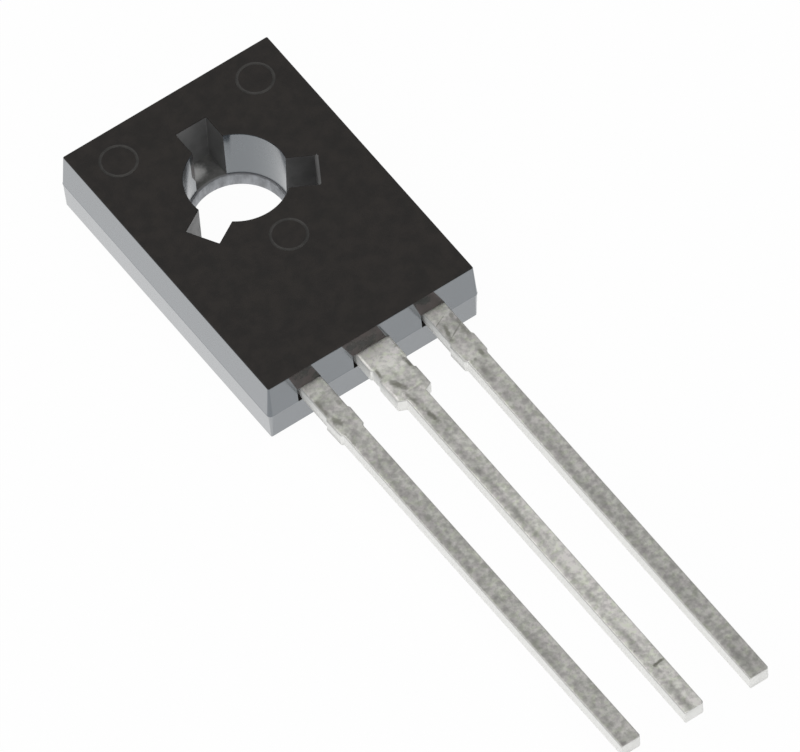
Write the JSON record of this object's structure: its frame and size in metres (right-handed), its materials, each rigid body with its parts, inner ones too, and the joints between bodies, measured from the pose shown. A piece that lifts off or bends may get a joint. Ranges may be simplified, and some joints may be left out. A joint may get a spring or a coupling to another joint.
{
  "type": "power transistor",
  "caption": "Flat moulded power transistor with a screw hole, three clamp-pin notches, an exposed metal mounting plate and three straight leads.",
  "frame": {"origin": "centre of the screw hole, on the mounting face", "axes": "+Z out of the front face along the screw hole, +Y from the leads towards the body's plain end, +X to the right as the front face is seen with the leads down"},
  "size_m": [0.0076, 0.0273, 0.0024],
  "materials": {
    "epoxy": "black moulded epoxy with a low sheen",
    "tinned_frame": "dull tin plate",
    "tinned_lead": "dull mottled tin plate",
    "solder": "dull solder",
    "silicon": "polished silicon",
    "wire": "drawn aluminium wire"
  },
  "bodies": {
    "root": {"mould_body": "epoxy", "collector_frame": "tinned_frame", "emitter_lead": "tinned_lead", "base_lead": "tinned_lead", "die_attach": "solder", "die": "silicon", "emitter_wire": "wire", "base_wire": "wire"}
  },
  "joints": []
}
